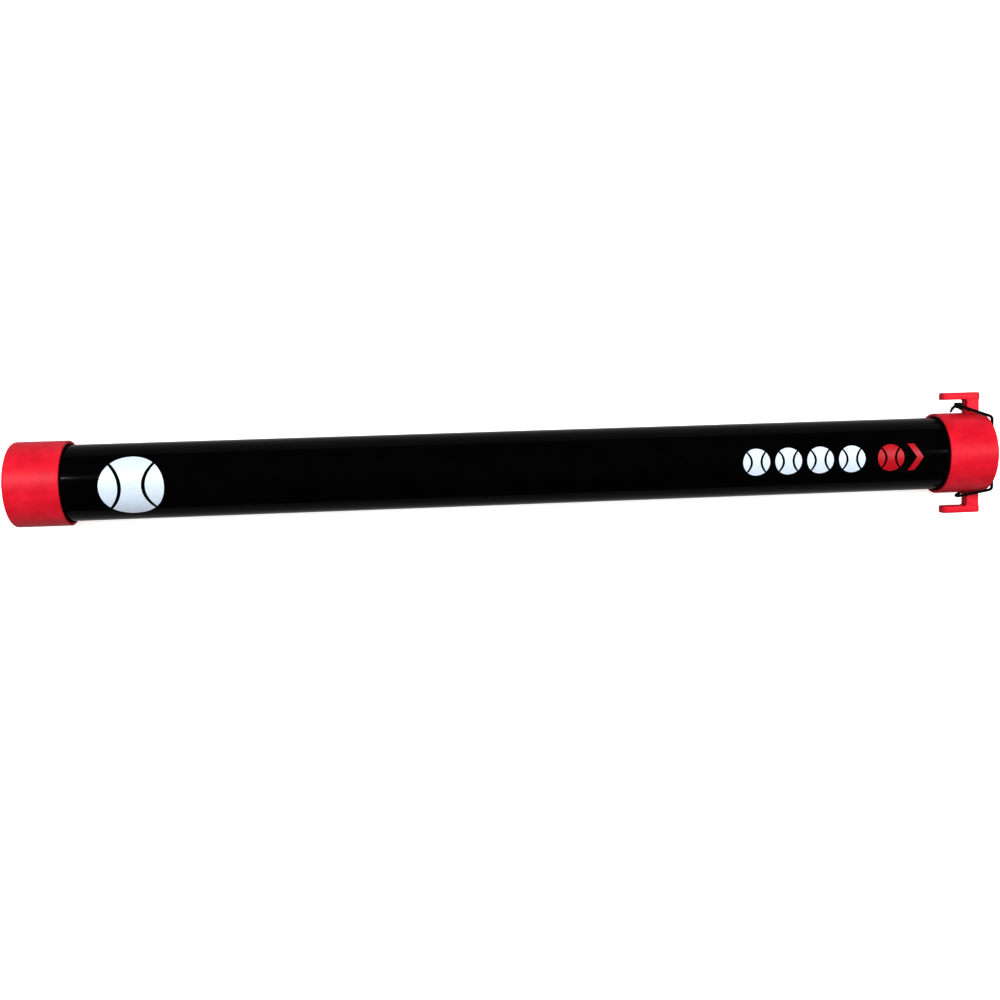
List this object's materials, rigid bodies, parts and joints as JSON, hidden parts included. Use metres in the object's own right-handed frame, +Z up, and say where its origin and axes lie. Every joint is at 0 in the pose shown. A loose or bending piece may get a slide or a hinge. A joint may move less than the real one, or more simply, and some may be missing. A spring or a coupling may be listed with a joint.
{
  "type": "tennis ball pick-up tube",
  "caption": "Long round tube with a push-on end cap and a cleated mouth collar crossed by elastic strands, which picks up and stores tennis balls.",
  "frame": {"origin": "on the floor, under the middle of the whole object lying on its cap and collar", "axes": "+X runs along the tube from the closed cap to the open mouth, +Y points to the cleat with the knot, +Z is up"},
  "size_m": [0.9604, 0.123, 0.0812],
  "materials": {
    "tube_plastic": "glossy black",
    "moulded_plastic": "satin red, injection moulded",
    "elastic_cord": "braided sheath over a rubber core",
    "white_print": "printed white",
    "red_print": "printed red"
  },
  "bodies": {
    "barrel": {"tube": "tube_plastic", "pickup_collar": "moulded_plastic", "elastic_upper_loop": "elastic_cord", "elastic_lower_loop": "elastic_cord", "elastic_knot": "elastic_cord"},
    "cap": {"end_cap": "moulded_plastic"},
    "near_strand": {"elastic_strand_near": "elastic_cord"},
    "far_strand": {"elastic_strand_far": "elastic_cord"}
  },
  "joints": [
    {"name": "cap_pull", "type": "slide", "parent": "barrel", "child": "cap", "axis": [-1, 0, 0], "range_m": [0, 0.06]},
    {"name": "near_spread", "type": "slide", "parent": "barrel", "child": "near_strand", "axis": [0, 0, 1], "range_m": [0, 0.0127], "stiffness_N_per_m": 400},
    {"name": "far_spread", "type": "slide", "parent": "barrel", "child": "far_strand", "axis": [0, 0, -1], "range_m": [0, 0.0127], "stiffness_N_per_m": 400}
  ],
  "couplings": [
    {"joint": "far_spread", "follows": "near_spread", "ratio": 1}
  ]
}
